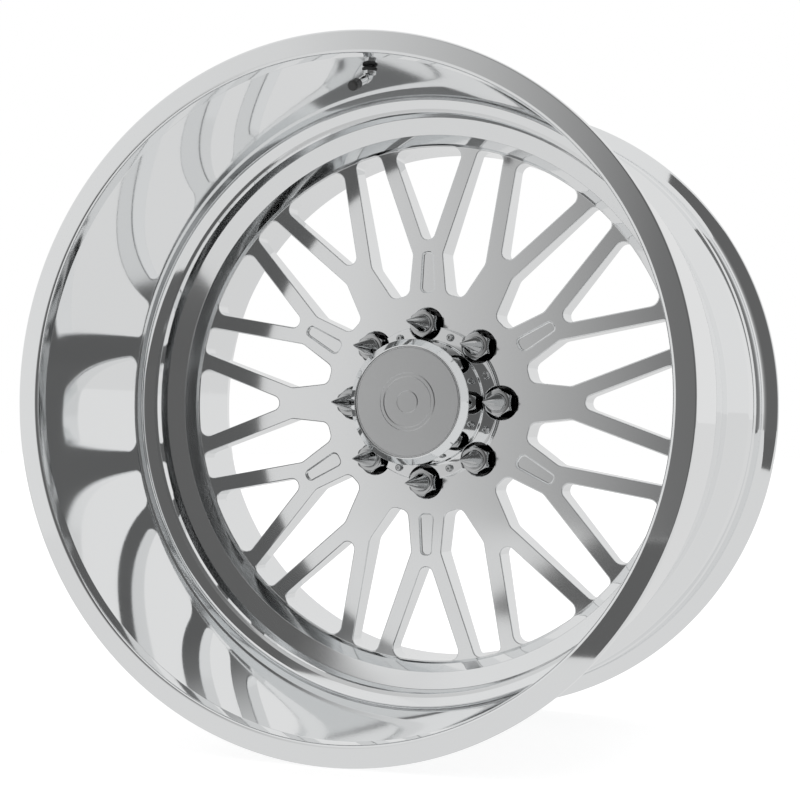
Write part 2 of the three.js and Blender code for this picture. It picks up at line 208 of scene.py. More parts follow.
def cutter(outline, front, rear, front_edge=EDGE, rear_edge=0.0, rear_depth=None, floor_edge=0.0):
    """A tool that mills an outline between two depths and rounds over the edges it leaves."""
    outline = anticlockwise(outline)
    steps = 4

    def row(amount, depth_of, limit=1000.0):
        moved = [p * min(1.0, limit / p.length) for p in grown(outline, amount)]
        return [(p.x * MM, depth_y(depth_of(p)), p.y * MM) for p in moved]

    rows = [row(front_edge, lambda p: front - 3)]
    for i in range(steps + 1):
        turn = math.pi / 2 * i / steps
        rows.append(row(front_edge * (1 - math.sin(turn)),
                        lambda p, t=turn: front + front_edge * (1 - math.cos(t))))
    if rear_depth is None:
        if floor_edge:
            for i in range(steps + 1):
                turn = math.pi / 2 * i / steps
                rows.append(row(-floor_edge * (1 - math.cos(turn)),
                                lambda p, t=turn: rear - floor_edge * (1 - math.sin(t))))
        else:
            rows.append(row(0, lambda p: rear))
    else:
        for i in range(steps + 1):
            turn = math.pi / 2 * i / steps
            rows.append(row(rear_edge * (1 - math.cos(turn)),
                            lambda p, t=turn: rear_depth(p) - rear_edge * (1 - math.sin(t)),
                            REAR_LIMIT_R))
        rows.append(row(rear_edge, lambda p: rear, REAR_LIMIT_R))
    return loft("cutter", rows)


def rotated(outline, angle):
    return [Matrix.Rotation(angle, 2) @ p for p in outline]


def circle(radius, count, centre=(0.0, 0.0)):
    return [Vector((centre[0] + radius * math.cos(2 * math.pi * i / count),
                    centre[1] + radius * math.sin(2 * math.pi * i / count))) for i in range(count)]


def polar(radius, angle):
    return radius * math.cos(angle), radius * math.sin(angle)


def cut(piece, tools):
    """Cuts the tools, which don't touch each other, out of the piece and removes them."""
    # A tool's matrix_world follows its location only after an update.
    bpy.context.view_layer.update()
    bm = bmesh.new()
    for tool in tools:
        part = tool.data.copy()
        part.transform(tool.matrix_world)
        bm.from_mesh(part)
        bpy.data.meshes.remove(part)
        bpy.data.objects.remove(tool)
    mesh = bpy.data.meshes.new("tools")
    bm.to_mesh(mesh)
    bm.free()
    joined = bpy.data.objects.new("tools", mesh)
    bpy.context.scene.collection.objects.link(joined)
    boolean = piece.modifiers.new("cut", "BOOLEAN")
    boolean.object = joined
    boolean.operation = "DIFFERENCE"
    boolean.solver = "EXACT"
    bpy.context.view_layer.update()
    graph = bpy.context.evaluated_depsgraph_get()
    result = bpy.data.meshes.new_from_object(piece.evaluated_get(graph))
    piece.modifiers.clear()
    piece.data = result
    bpy.data.objects.remove(joined)
    return piece


def shaded(piece, sharp=32.0):
    """Smooth shading that stays flat on flat faces and breaks at hard corners."""
    piece.data.shade_smooth()
    piece.data.set_sharp_from_angle(angle=math.radians(sharp))
    for polygon in piece.data.polygons:
        if abs(polygon.normal.y) > FLAT_NORMAL and polygon.area > FLAT_AREA:
            polygon.use_smooth = False
    normals = piece.modifiers.new("normals", "WEIGHTED_NORMAL")
    normals.keep_sharp = True
    normals.weight = 90
    return piece


# ---- the valve's own frame: X points from the lip towards the axle, Y to the street ----
VALVE_ANGLE = math.radians(87.6)
VALVE_WALL_R = 322.95
VALVE_DEPTH = 56.0
VALVE_LEAN = math.radians(68)
ELBOW_X = 9.5
STEM_LENGTH = 40.0
STEM_R = 4.0


def along_y(distance):
    return distance * MM


def valve_axes():
    inward = Vector((-math.cos(VALVE_ANGLE), 0, -math.sin(VALVE_ANGLE)))
    street = Vector((0, -1, 0))
    return inward, street, inward * math.cos(VALVE_LEAN) + street * math.sin(VALVE_LEAN)


def valve_point(x, along=0.0):
    """A point x millimetres in from the lip, then along the leaning stem."""
    inward, street, stem = valve_axes()
    wall = inward * (-VALVE_WALL_R * MM) + Vector((0, depth_y(VALVE_DEPTH), 0))
    return wall + inward * (x * MM) + stem * (along * MM)


def aim(piece, origin, axis):
    """Turns a piece that was made about Y from the origin to stand at a place along an axis."""
    turn = Vector((0, 1, 0)).rotation_difference(axis).to_matrix().to_4x4()
    piece.data.transform(Matrix.Translation(origin) @ turn)
    return piece


# ---- outlines of the openings in the centre, x along the radius and y around the wheel ----
def outer_corner(point, direction, fillet, steps=7):
    """Rounds the corner where a window's upper side meets the arc that closes the window."""
    start = Vector(point)
    along = Vector(direction).normalized()
    inward = Vector((along.y, -along.x))
    reach = WINDOW_OUTER_R - fillet
    base = start + inward * fillet
    half = base.dot(along)
    travel = -half + math.sqrt(half * half - base.length_squared + reach * reach)
    centre = base + along * travel
    first = -inward
    last = centre.normalized()
    turn = math.atan2(first.cross(last), first.dot(last))
    return [centre + Matrix.Rotation(turn * i / steps, 2) @ first * fillet for i in range(steps + 1)]


def mirrored_loop(upper):
    lower = [Vector((p.x, -p.y)) for p in reversed(upper) if p.y > 1e-6]
    return anticlockwise(list(upper) + lower)


def outer_arc(corner_points):
    end = corner_points[-1]
    angle = math.atan2(end.y, end.x)
    steps = max(2, int(math.degrees(angle)))
    return [Vector(polar(WINDOW_OUTER_R, angle * (1 - i / steps))) for i in range(1, steps + 1)]


def fork_window():
    apex, half, nose = 161.5, math.radians(20), 8.0
    centre_x = apex + nose / math.sin(half)
    start = math.pi
    end = math.pi / 2 + half
    steps = 7
    upper = [Vector((centre_x + nose * math.cos(start + (end - start) * i / steps),
                     nose * math.sin(start + (end - start) * i / steps))) for i in range(steps + 1)]
    corner = outer_corner((apex, 0), (math.cos(half), math.sin(half)), 10)
    return mirrored_loop(upper + corner + outer_arc(corner))


def stem_window():
    inner = [(119, -9.5, 9), (119, 9.5, 9), (160, 24.8, 12), (276, 14.65)]
    points = [Vector(c[:2]) for c in inner]
    upper = []
    for i in (1, 2):
        upper += arc_points(points[i], points[i - 1], points[i + 1], inner[i][2], 7)
    upper = [p for p in upper if p.y > 0.2]
    corner = outer_corner(points[2], points[3] - points[2], 7)
    return mirrored_loop([Vector((119, 0))] + upper + corner + outer_arc(corner))


def stem_pocket():
    return anticlockwise(rounded([(119, -8.5, 6), (164, -6, 5), (164, 6, 5), (119, 8.5, 6)], 6))


def spoke_back(point):
    """Depth of the spokes' rear surface, which slopes away from the hub."""
    return 277 + (277.2 - min(point.length, 277.2)) * 12 / 155


# ---- rim barrel ----
def rim_barrel():
    rear = WIDTH - 18
    barrel = lathe("barrel", [
        (LIP_R + 1.6, 0, 3.2), (FLANGE_R, 0, 1.8), (FLANGE_R, 10.2, 2.2),
        (BEAD_R + 1.2, 11.4, 4.5), (BEAD_R - 1.7, 38, 6), (BEAD_R - 0.5, 42, 4), (BEAD_R - 2, 48, 6),
        (LIP_END_R + 5.2, LIP_END - 9, 18), (JOINT_R + 7, TAPER_END, 40),
        (JOINT_R + 7, RING_REAR, 10), (BEAD_R - 4, rear - 50, 14), (BEAD_R - 2, rear - 30, 6),
        (BEAD_R - 0.5, rear - 24, 4), (BEAD_R - 1.7, rear - 20, 6), (BEAD_R + 0.6, rear + 6.4, 9.5),
        (FLANGE_R, rear + 13.0, 2.6), (FLANGE_R, WIDTH, 1.8), (LIP_R + 4.2, WIDTH, 2),
        (LIP_R, rear + 4, 8), (LIP_R - 1.5, rear - 44, 20), (JOINT_R, RING_REAR + 8, 12),
        (JOINT_R, JOINT + 15.5, 0.2), (JOINT_R + 1.4, JOINT, 0.8), (JOINT_R + 2.2, JOINT - 4.6, 0.8),
        (JOINT_R + 6, JOINT - 5.2, 1.4), (LIP_END_R, LIP_END, 7), (LIP_R, 14, 12),
    ], segments=320)
    hole = lathe("tool", [(0, -20), (5.65, -20), (5.65, 15), (0, 15)], segments=48, axis_y=along_y)
    aim(hole, valve_point(0), valve_axes()[0])
    return cut(barrel, [hole])


# ---- forged centre ----
def lug_well_tool(angle):
    seat_end = LUG_SEAT + (LUG_SEAT_R - STUD_HOLE_R) * SEAT_SLOPE
    tool = lathe("tool", [
        (0, FACE - 4), (LUG_WELL_R + EDGE, FACE - 4), (LUG_WELL_R + EDGE, FACE, 0),
        (LUG_WELL_R, FACE + EDGE, 0.9), (LUG_WELL_R, LUG_SEAT), (LUG_SEAT_R, LUG_SEAT),
        (STUD_HOLE_R, seat_end), (STUD_HOLE_R, HUB_PAD - 1), (STUD_HOLE_R + 1.2, HUB_PAD + 0.2),
        (STUD_HOLE_R + 1.2, HUB_PAD + 3), (0, HUB_PAD + 3),
    ], segments=48)
    x, z = polar(LUG_CIRCLE_R * MM, angle)
    tool.location = (x, 0, z)
    return tool


def screw_hole_tool(angle, top, bottom):
    tool = lathe("tool", [(0, top), (2.4, top), (2.4, bottom), (0, bottom)], segments=24)
    x, z = polar(SCREW_CIRCLE_R * MM, angle)
    tool.location = (x, 0, z)
    return tool


def forged_centre():
    ring_r = JOINT_R - 0.03
    centre = lathe("centre", [
        (HUB_BORE_R, FACE, 0.8), (277.0, FACE, 0.6), (279.5, 249.3, 2.0), (287, 236.5, 0.6),
        (302.0, 228, 4.0), (ring_r, 226.9, 0.1), (ring_r, RING_REAR, 1.0),
        (RING_INNER_R, RING_REAR, 1.5), (RING_INNER_R, 277.0, 4.0), (122, 289, 7),
        (109, 297, 5), (107, HUB_PAD, 1.5), (HUB_BORE_R, HUB_PAD, 1.2),
    ], segments=288)
    tools = []
    for i in range(SPOKES):
        angle = 2 * math.pi * i / SPOKES
        half = math.pi / SPOKES
        for outline, turn in ((fork_window(), angle), (stem_window(), angle + half)):
            tools.append(cutter(rotated(outline, turn), FACE, RING_REAR + 6, EDGE, 2.2, spoke_back))
        if i % 2 == 1:
            tools.append(cutter(rotated(stem_pocket(), angle), FACE, FACE + POCKET_DEPTH, 0.5,
                                floor_edge=1.6))
    for i in range(LUGS):
        angle = 2 * math.pi * i / LUGS
        tools.append(lug_well_tool(angle))
        tools.append(screw_hole_tool(angle + math.pi / LUGS, FACE - 3, FACE + 14))
    return cut(centre, tools)


# ---- centre cap ----
def centre_cap():
    inner = HUB_BORE_R - 4.5
    cap = lathe("cap", [
        (0, CAP_FRONT + 2.4), (58.8, CAP_FRONT + 2.4, 0.3), (58.8, CAP_FRONT + 0.4, 0.3),
        (59.8, CAP_FRONT, 0.4), (CAP_R, CAP_FRONT + 6.5, 1.4), (CAP_R, CAP_FLANGE, 2.0),
        (CAP_FLANGE_R, CAP_FLANGE, 1.2), (CAP_FLANGE_R, FACE - GAP, 0.3),
        (HUB_BORE_R - 0.5, FACE - GAP, 0.2), (HUB_BORE_R - 0.5, FACE + 11, 0.8),
        (inner, FACE + 11, 0.8), (inner, CAP_FRONT + 10.5, 2), (inner - 3, CAP_FRONT + 7.5, 2),
        (0, CAP_FRONT + 7.5),
    ], segments=192)
    tools = []
    for i in range(LUGS):
        angle = 2 * math.pi * i / LUGS
        outline = circle(LUG_WELL_R + 0.7, 48, polar(LUG_CIRCLE_R, angle))
        tools.append(cutter(outline, CAP_FLANGE, FACE + 2, 0.8))
        tools.append(screw_hole_tool(angle + math.pi / LUGS, CAP_FLANGE - 3, FACE + 2))
    return cut(cap, tools)


def cap_insert():
    """A thin plate with a low raised ring, a raised middle and a fine groove just inside its rim."""
    front, rear = CAP_FRONT + 0.5, CAP_FRONT + 2.4 - GAP
    return lathe("insert", [
        (0, front + 0.1), (11, front + 0.1, 0.3), (12, front + 0.6, 0.4), (26, front + 0.6, 0.4),
        (27, front + 0.1, 0.3), (30, front + 0.1, 0.3), (31, front + 0.6, 0.4),
        (56.6, front + 0.6, 0.3), (56.9, front + 1.0, 0.1), (57.3, front + 0.6, 0.2),
        (58.3, front + 0.6, 0.3), (58.3, rear, 0.2), (0, rear),
    ], segments=192, steps=3)


def cap_screw():
    rear = CAP_FLANGE - GAP
    screw = lathe("screw", [
        (0, rear - 3.4), (2.6, rear - 3.4, 0.4), (4.1, rear - 1.5, 1.0), (4.1, rear, 0.2),
        (2, rear, 0.3), (2, FACE + 12, 0.5), (0, FACE + 12),
    ], segments=40, steps=4)
    socket = cutter(circle(1.55, 6), rear - 3.4, rear - 1.1, 0.15)
    return cut(screw, [socket])


# ---- spiked lug nut and its conical seat washer ----
def hexagon_radius(angle, corner_radius):
    flat = corner_radius * math.cos(math.pi / 6)
    turn = (angle + math.pi / 6) % (math.pi / 3) - math.pi / 6
    return min(flat / math.cos(turn), corner_radius - 0.35)


def hex_loft(name, rows, corner_radius, count=144, axis_y=depth_y, ring=False):
    """A body of revolution about Y, given as (depth, radius) rows, trimmed to a hexagon."""
    loops = []
    for depth, radius in rows:
        loop = []
        for i in range(count):
            angle = 2 * math.pi * i / count
            reach = min(radius, hexagon_radius(angle, corner_radius)) * MM
            loop.append((reach * math.cos(angle), axis_y(depth), reach * math.sin(angle)))
        loops.append(loop)
    return loft(name, loops, ring)


def lug_nut():
    """Spike, rounded shoulder, chamfered hexagon and threaded bore, front to back."""
    chamfer, shoulder_r, shoulder_width = 3.4, 12.3, 3.4
    nose, nose_r = 0.5, 0.8
    rows = [(SPIKE_TIP, 0.35), (SPIKE_TIP + nose, nose_r)]
    cone = NUT_FRONT - 1.2 - SPIKE_TIP - nose
    for i in range(1, 11):
        t = i / 10
        rows.append((SPIKE_TIP + nose + cone * t, nose_r + (SPIKE_BASE_R - nose_r) * t))
    rows += [(NUT_FRONT - 0.9, SPIKE_BASE_R + 0.05), (NUT_FRONT - 0.3, SPIKE_BASE_R - 0.1),
             (NUT_FRONT, SPIKE_BASE_R - 0.1), (NUT_FRONT, SPIKE_BASE_R + 0.8)]
    for i in range(11):
        t = i / 10
        fall = chamfer * (1 - math.sqrt(1 - t * t * 0.98))
        rows.append((NUT_FRONT + 0.1 + fall, shoulder_r + shoulder_width * t))
    rows += [(NUT_BASE - 2.2, NUT_CORNER_R), (NUT_BASE - 1.2, 15.0), (NUT_BASE - 0.4, 14.5),
             (NUT_BASE, 14.0), (NUT_BASE, 7.4), (NUT_BASE - 0.8, 6.6), (NUT_BASE - 34, 6.6)]
    return hex_loft("nut", rows, NUT_CORNER_R)


def lug_washer():
    front = NUT_BASE + GAP
    inner, outer = 7.4, LUG_SEAT_R - GAP * 1.2
    tip = LUG_SEAT + (outer - 8.6) * SEAT_SLOPE
    return lathe("washer", [
        (inner, front, 0.5), (outer, front, 0.8), (outer, LUG_SEAT, 0.5), (8.6, tip, 0.3),
        (inner, tip, 0.3),
    ], segments=64)


# ---- tyre valve ----
def valve_turned(name, corners, x=0.0, along=None, segments=40, steps=4):
    """Turned about the valve's base line, or about its stem when along is given."""
    inward, _, stem = valve_axes()
    piece = lathe(name, corners, segments=segments, steps=steps, axis_y=along_y)
    if along is None:
        return aim(piece, valve_point(x), inward)
    return aim(piece, valve_point(ELBOW_X, along), stem)


def swept(name, path, radius_at, count=24):
    """A closed round bar along a path of points."""
    loops = []
    side = valve_axes()[0].cross(valve_axes()[1])
    for i, point in enumerate(path):
        ahead = path[min(i + 1, len(path) - 1)] - path[max(i - 1, 0)]
        across = side.cross(ahead).normalized()
        loops.append([point + (side * math.cos(2 * math.pi * j / count)
                               + across * math.sin(2 * math.pi * j / count)) * radius_at(i) * MM
                      for j in range(count)])
    return loft(name, loops)


def valve_stem():
    """Head, base, elbow and stem; the bend is an arc between the two straight lines."""
    path, radii = [], []

    def station(point, radius):
        path.append(point)
        radii.append(radius)

    for x, radius in ((-12.5, 7.6), (-12.1, 8.2), (-11.5, 8.5), (-9.4, 8.5), (-8.9, 8.0),
                      (-8.85, 4.5), (-8.6, STEM_R), (0, STEM_R), (3, STEM_R)):
        station(valve_point(x), radius)
    start, corner, end = valve_point(ELBOW_X - 4), valve_point(ELBOW_X), valve_point(ELBOW_X, 4)
    for i in range(9):
        t = i / 8
        station(start * (1 - t) ** 2 + corner * 2 * t * (1 - t) + end * t * t, STEM_R)
    collar = 9
    for along, radius in ((collar, STEM_R), (collar + 0.4, 4.6), (collar + 2.6, 4.6),
                          (collar + 3, STEM_R), (STEM_LENGTH - 9, STEM_R)):
        station(valve_point(ELBOW_X, along), radius)
    pitch, ridge = 0.8, 0.25
    along = STEM_LENGTH - 8.6
    while along < STEM_LENGTH - 1:
        station(valve_point(ELBOW_X, along), STEM_R - ridge)
        station(valve_point(ELBOW_X, along + pitch / 2), STEM_R - 0.02)
        along += pitch
    station(valve_point(ELBOW_X, STEM_LENGTH - 0.5), STEM_R - ridge)
    station(valve_point(ELBOW_X, STEM_LENGTH), STEM_R - 0.6)
    stem = swept("stem", path, lambda i: radii[i])
    bore = lathe("tool", [(0, -4), (1.6, -4), (1.6, 0), (2.6, 0), (2.6, 15), (0, 15)],
                 segments=32, axis_y=along_y)
    aim(bore, valve_point(ELBOW_X, STEM_LENGTH - 14), valve_axes()[2])
    return cut(stem, [bore])


def valve_grommet():
    return valve_turned("grommet", [
        (4.3, -8.6, 0.2), (8.8, -8.6, 0.8), (8.8, -5.7, 0.8), (5.35, -5.5, 0.3), (5.35, -0.4, 0.3),
        (4.3, -0.4, 0.2)])


def valve_washer():
    return valve_turned("washer", [(4.4, 0.4, 0.2), (7.4, 0.4, 0.5), (7.4, 3, 1.0), (4.4, 3, 0.3)])


def valve_nut():
    rows = [(3.5, 4.4), (3.3, 4.7), (3.3, 5.8), (3.5, 6.4), (3.9, 6.8), (6.2, 6.8), (6.6, 6.4),
            (6.8, 5.8), (6.8, 4.7), (6.6, 4.4)]
    nut = hex_loft("nut", rows, 6.8, 96, along_y, ring=True)
    return aim(nut, valve_point(0), valve_axes()[0])


def valve_core():
    return valve_turned("core", [(1.1, -12, 0.1), (2.3, -12, 0.3), (2.3, -1.2, 0.4), (1.1, -1.2, 0.2)],
                        along=STEM_LENGTH, segments=28)


def valve_pin():
    return valve_turned("pin", [(0, -13.4), (0.8, -13.4, 0.2), (0.8, -0.4, 0.4), (0, -0.4)],
                        along=STEM_LENGTH, segments=20)


def valve_cap_seal():
    return valve_turned("seal", [(1.6, 0.3, 0.2), (3.9, 0.3, 0.3), (3.9, 1.7, 0.3), (1.6, 1.7, 0.2)],
                        along=STEM_LENGTH, segments=32)


def valve_cap():
    """A tapered plastic cap with grip ridges round its skirt."""
    ridges, per_ridge = 20, 6
    rows = [(-9.5, 4.9, 0), (-9.2, 5.3, 0), (-8.4, 5.4, 0), (-8.0, 5.4, 1), (0.5, 5.25, 1),
            (1.0, 5.2, 0), (2.2, 5.05, 0), (3.2, 4.7, 0), (3.8, 4.0, 0), (4.0, 3.2, 0)]
    loops = []
    for along, radius, ridged in rows:
        loop = []
        for i in range(ridges * per_ridge):
            angle = 2 * math.pi * i / (ridges * per_ridge)
            depth = 0.28 * ridged * (0.5 - 0.5 * math.cos(angle * ridges))
            reach = (radius - depth) * MM
            loop.append((reach * math.cos(angle), along * MM, reach * math.sin(angle)))
        loops.append(loop)
    cap = loft("cap", loops)
    hollow = lathe("tool", [(0, -11), (STEM_R + GAP, -11), (STEM_R + GAP, 2, 0.4), (0, 2)],
                   segments=40, axis_y=along_y)
    cap = cut(cap, [hollow])
    return aim(cap, valve_point(ELBOW_X, STEM_LENGTH), valve_axes()[2])


# ---- materials ----
class Nodes:
    """Short names for building a node tree."""

    def __init__(self, name):
        self.material = bpy.data.materials.new(name)
        self.material.use_nodes = True
        self.tree = self.material.node_tree
        self.shader = self.tree.nodes["Principled BSDF"]

    def new(self, kind, **values):
        node = self.tree.nodes.new(kind)
        for key, value in values.items():
            if key in node.inputs:
                node.inputs[key].default_value = value
            else:
                setattr(node, key, value)
        return node

    def link(self, source, target):
        self.tree.links.new(source, target)

    def math(self, operation, first, second=None):
        node = self.new("ShaderNodeMath", operation=operation)
        for socket, value in zip(node.inputs, (first, second)):
            if isinstance(value, (int, float)):
                socket.default_value = value
            elif value is not None:
                self.link(value, socket)
        return node.outputs[0]

    def place(self):
        return self.new("ShaderNodeTexCoord").outputs["Object"]

    def noise(self, vector, scale, detail=3.0):
        node = self.new("ShaderNodeTexNoise", Scale=scale, Detail=detail)
        self.link(vector, node.inputs["Vector"])
        return node.outputs["Fac"]

    def remap(self, value, low, high, from_low=0.3, from_high=0.7):
        node = self.new("ShaderNodeMapRange")
        self.link(value, node.inputs["Value"])
        for key, number in (("From Min", from_low), ("From Max", from_high),
                            ("To Min", low), ("To Max", high)):
            node.inputs[key].default_value = number
        return node.outputs[0]

    def mix(self, factor, first, second):
        node = self.new("ShaderNodeMix", data_type="RGBA")
        self.link(factor, node.inputs[0])
        node.inputs[6].default_value = first
        node.inputs[7].default_value = second
        return node.outputs[2]

    def bump(self, height, strength, distance, after=None):
        node = self.new("ShaderNodeBump", Strength=strength, Distance=distance)
        self.link(height, node.inputs["Height"])
        if after is not None:
            self.link(after, node.inputs["Normal"])
        return node.outputs["Normal"]


def grey(value, tint=(1.0, 1.0, 1.0)):
    return (value * tint[0], value * tint[1], value * tint[2], 1.0)


def turned_coordinate(nodes, vector):
    """A coordinate that is constant along each turned groove: radius from the axle, then Y."""
    split = nodes.new("ShaderNodeSeparateXYZ")
    nodes.link(vector, split.inputs[0])
    across = nodes.math("MULTIPLY", split.outputs["X"], split.outputs["X"])
    up = nodes.math("MULTIPLY", split.outputs["Z"], split.outputs["Z"])
    radius = nodes.math("SQRT", nodes.math("ADD", across, up))
    joined = nodes.new("ShaderNodeCombineXYZ")
    nodes.link(radius, joined.inputs["X"])
    nodes.link(split.outputs["Y"], joined.inputs["Y"])
    return joined.outputs[0]


def paint_well_shade(nodes, vector, colour):
    """Paints shade on all of the hub behind its face: the lug wells, and also the bore and the rear pad.
    """
    split = nodes.new("ShaderNodeSeparateXYZ")
    nodes.link(turned_coordinate(nodes, vector), split.inputs[0])
    inside = nodes.math("LESS_THAN", split.outputs["X"], (LUG_CIRCLE_R + LUG_WELL_R + EDGE) * MM)
    below = nodes.math("GREATER_THAN", split.outputs["Y"], depth_y(FACE + EDGE + 0.3))
    blend = nodes.new("ShaderNodeMix", data_type="RGBA")
    nodes.link(nodes.math("MULTIPLY", inside, below), blend.inputs[0])
    nodes.link(colour, blend.inputs[6])
    blend.inputs[7].default_value = grey(WELL_SHADE_TONE)
    return blend.outputs[2]


METAL_TINT = (0.985, 0.995, 1.0)


def metal(name, base, rough_low, rough_high, groove=0.0, scratch=0.0, wells=False):
    """Bare metal: smudged polish, turned grooves round the axle and fine hand-polish scratches."""
    nodes = Nodes(name)
    shader = nodes.shader
    shader.inputs["Metallic"].default_value = 1.0
    vector = nodes.place()
    smudge = nodes.noise(vector, 9.0, 5.0)
    nodes.link(nodes.remap(smudge, rough_low, rough_high), shader.inputs["Roughness"])
    tone = nodes.noise(vector, 3.0, 2.0)
    colour = nodes.mix(tone, grey(base * 0.97, METAL_TINT), grey(base, METAL_TINT))
    # Painted shade: darkens the hub behind its face, in the lug wells and also in the bore and rear pad.
    if wells:
        colour = paint_well_shade(nodes, vector, colour)
    nodes.link(colour, shader.inputs["Base Color"])
    normal = None
    if groove:
        fine = nodes.noise(turned_coordinate(nodes, vector), 900.0, 2.0)
        normal = nodes.bump(fine, groove, 0.00004)
    if scratch:
        stretched = nodes.new("ShaderNodeMapping", Scale=(900.0, 60.0, 900.0), Rotation=(0.6, 0.3, 0.4))
        nodes.link(vector, stretched.inputs["Vector"])
        normal = nodes.bump(nodes.noise(stretched.outputs[0], 1.0, 2.0), scratch, 0.00003, normal)
    if normal is not None:
        nodes.link(normal, shader.inputs["Normal"])
    return nodes.material


def soft_black(name, base, rough_low, rough_high, grain, distance):
    """Rubber or moulded plastic: near black, uneven in gloss, with a fine moulded grain."""
    nodes = Nodes(name)
    vector = nodes.place()
    cloud = nodes.noise(vector, 60.0, 4.0)
    nodes.link(nodes.mix(cloud, grey(base * 0.7), grey(base * 1.4)), nodes.shader.inputs["Base Color"])
    nodes.link(nodes.remap(cloud, rough_low, rough_high), nodes.shader.inputs["Roughness"])
    nodes.link(nodes.bump(nodes.noise(vector, grain, 3.0), 0.4, distance), nodes.shader.inputs["Normal"])
    return nodes.material


MATERIALS = {
    "polished_barrel": metal("barrel_polish", 0.92, 0.03, 0.06, groove=0.03),
    # The centre's material carries painted shade in its lug wells, hub bore and rear pad.
    "polished_centre": metal("centre_polish", 0.90, 0.06, 0.11, groove=0.02, scratch=0.02, wells=True),
    "polished_cap": metal("cap_polish", 0.91, 0.03, 0.06, groove=0.03),
    "satin_insert": metal("insert_satin", 0.62, 0.26, 0.34, groove=0.25),
    "dark_chrome": metal("nut_chrome", 0.55, 0.03, 0.07, scratch=0.02),
    "screw_steel": metal("screw_zinc", 0.62, 0.18, 0.30, scratch=0.06),
    "nickel_brass": metal("valve_nickel", 0.80, 0.08, 0.16, scratch=0.04),
    "black_rubber": soft_black("rubber", 0.02, 0.55, 0.75, 2500.0, 0.00005),
    "black_plastic": soft_black("plastic", 0.025, 0.32, 0.5, 1800.0, 0.00003),
}


# ---- assembly ----
SLOT_OF = {part["node"]: part["material_slot"] for part in frame["record"]["subparts"]}
BODY_OF = {node: body for body, names in frame["record"]["behaviour"]["bodies"].items() for node in names}


def install(piece, node, name, sharp=32.0):
    """Finishes a piece, and puts it in the place of its CAD node."""
    piece.name = name
    piece.data.name = name
    piece.data.materials.clear()
    piece.data.materials.append(MATERIALS[SLOT_OF[node]])
    shaded(piece, sharp)
    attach(piece, BODY_OF[node])
    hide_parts(node)


def copies(source, node_stem, name_stem, radius, first_angle, sharp=32.0):
    """Eight copies around the wheel, clockwise from the top as seen from the street."""
    for i in range(LUGS):
        angle = first_angle - 2 * math.pi * i / LUGS
        piece = bpy.data.objects.new("copy", source.data.copy())
        bpy.context.scene.collection.objects.link(piece)
        x, z = polar(radius * MM, angle)
        piece.matrix_world = Matrix.Translation((x, 0, z))
        install(piece, f"{node_stem}_{i + 1}", f"{name_stem}_{i + 1}", sharp)
    bpy.data.objects.remove(source)


TOP = math.pi / 2
install(rim_barrel(), "rim_barrel", "barrel_spun")
install(forged_centre(), "forged_centre", "centre_milled")
install(centre_cap(), "centre_cap", "cap_turned")
install(cap_insert(), "cap_insert", "cap_plate")
copies(lug_nut(), "lug_nut", "spiked_nut", LUG_CIRCLE_R, TOP, sharp=24.0)
copies(lug_washer(), "lug_seat_washer", "seat_ring", LUG_CIRCLE_R, TOP)
copies(cap_screw(), "cap_screw", "button_screw", SCREW_CIRCLE_R, TOP - math.pi / LUGS)
for build, node, name in (
    (valve_stem, "valve_stem", "valve_body"), (valve_grommet, "valve_grommet", "valve_rubber"),
    (valve_washer, "valve_washer", "valve_ring"), (valve_nut, "valve_nut", "valve_hex"),
    (valve_core, "valve_core", "valve_insert"), (valve_pin, "valve_pin", "valve_plunger"),
    (valve_cap, "valve_cap", "valve_dust_cap"), (valve_cap_seal, "valve_cap_seal", "valve_cap_ring"),
):
    install(build(), node, name)


# ---- floor, light and camera, in metres ----
LAYER = 0.0005                   # height between the stage's floor layers
FLOOR_Z = cad_box[0][2] - LAYER
FLOOR_LIFT = 0.72                # the floor's own glow, which keeps it white
FLOOR_GLOW = 0.72                # brightness of the floor as metal reflects it
DARK_GLOW = 0.12
WORLD_LEVEL = 0.78
BACKDROP_RADIUS = 25.0
EYE_PLACE = (0.6645, -1.6954, -0.0362)
EYE_LOOK = (-0.3720, 0.9280, 0.0211)
EYE_ROLL = math.radians(-0.4)


def glow_material(name, level):
    nodes = Nodes(name)
    glow = nodes.new("ShaderNodeEmission")
    glow.inputs["Color"].default_value = grey(level)
    nodes.tree.nodes.remove(nodes.shader)
    nodes.link(glow.outputs[0], nodes.tree.nodes["Material Output"].inputs["Surface"])
    return nodes, glow


def panel(name, corners, material, camera_sees=False, mirrors_see=True):
    """A flat stage panel that is looked at or reflected, and throws no light and no shadow."""
    bm = bmesh.new()
    bm.faces.new([bm.verts.new(c) for c in corners])
    card = mesh_object(name, bm)
    card.data.materials.append(material)
    reflect_only(card, camera_sees, mirrors_see)
    return card


def reflect_only(card, camera_sees=False, mirrors_see=True):
    card.visible_camera = camera_sees
    card.visible_glossy = mirrors_see
    card.visible_diffuse = False
    card.visible_shadow = False


def floor():
    nodes = Nodes("floor_paint")
    grain = nodes.noise(nodes.place(), 3.0)
    nodes.link(nodes.mix(grain, grey(0.44), grey(0.46)), nodes.shader.inputs["Base Color"])
    nodes.shader.inputs["Roughness"].default_value = 0.85
    nodes.shader.inputs["Emission Color"].default_value = grey(1.0)
    nodes.shader.inputs["Emission Strength"].default_value = FLOOR_LIFT
    half = 30.0
    ground = panel("floor", [(-half, -half, FLOOR_Z), (half, -half, FLOOR_Z), (half, half, FLOOR_Z),
                             (-half, half, FLOOR_Z)], nodes.material, True, False)
    # Unlike the other panels, the floor takes part in light and shadow.
    ground.visible_diffuse = True
    ground.visible_shadow = True


